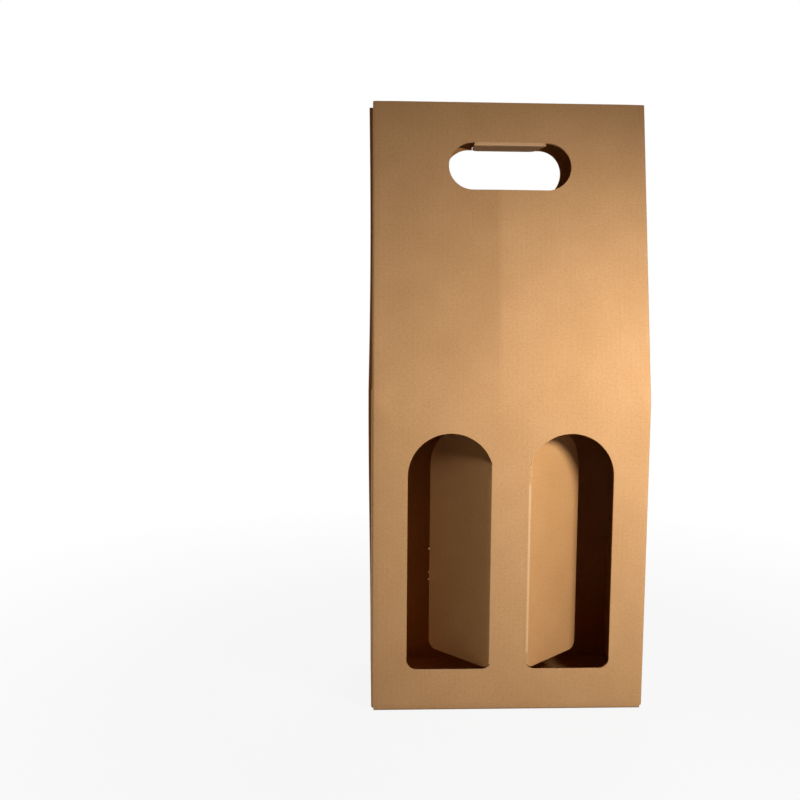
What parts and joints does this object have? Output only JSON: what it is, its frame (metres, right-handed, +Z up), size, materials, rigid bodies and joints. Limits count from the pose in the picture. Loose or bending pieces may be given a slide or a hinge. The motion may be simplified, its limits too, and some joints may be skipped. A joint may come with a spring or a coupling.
{
  "type": "bottle carrier box",
  "caption": "Folded kraft corrugated carrier for bottles: tall gabled box with hand slots through its sloping panels, gusset sides and arched windows whose flaps fold inwards.",
  "frame": {"origin": "middle of the base, on the surface that the box stands on", "axes": "+Z up, +X to the right along the width as seen from the window side, -Y out of the window side"},
  "size_m": [0.18, 0.09, 0.3991],
  "materials": {
    "kraft_board": "matt brown kraft liner with faint fibres and flute lines",
    "cut_edge": "raw cut edge that shows the fluted core"
  },
  "bodies": {
    "carrier": {"carrier_body": "kraft_board"},
    "left_flap": {"left_window_flap": "kraft_board"},
    "right_flap": {"right_window_flap": "kraft_board"},
    "tab": {"handle_tab": "kraft_board"}
  },
  "joints": [
    {"name": "left_flap_fold", "type": "hinge", "parent": "carrier", "child": "left_flap", "pos_m": [-0.01225, -0.04425, 0.095], "axis": [0, 0, -1], "range_deg": [-47.5, 47.5]},
    {"name": "right_flap_fold", "type": "hinge", "parent": "carrier", "child": "right_flap", "pos_m": [0.01225, -0.04425, 0.095], "axis": [0, 0, 1], "range_deg": [-42.5, 52.5]},
    {"name": "tab_fold", "type": "hinge", "parent": "carrier", "child": "tab", "pos_m": [0, -0.01421, 0.37131], "axis": [1, 0, 0], "range_deg": [-103.68, 0]}
  ]
}
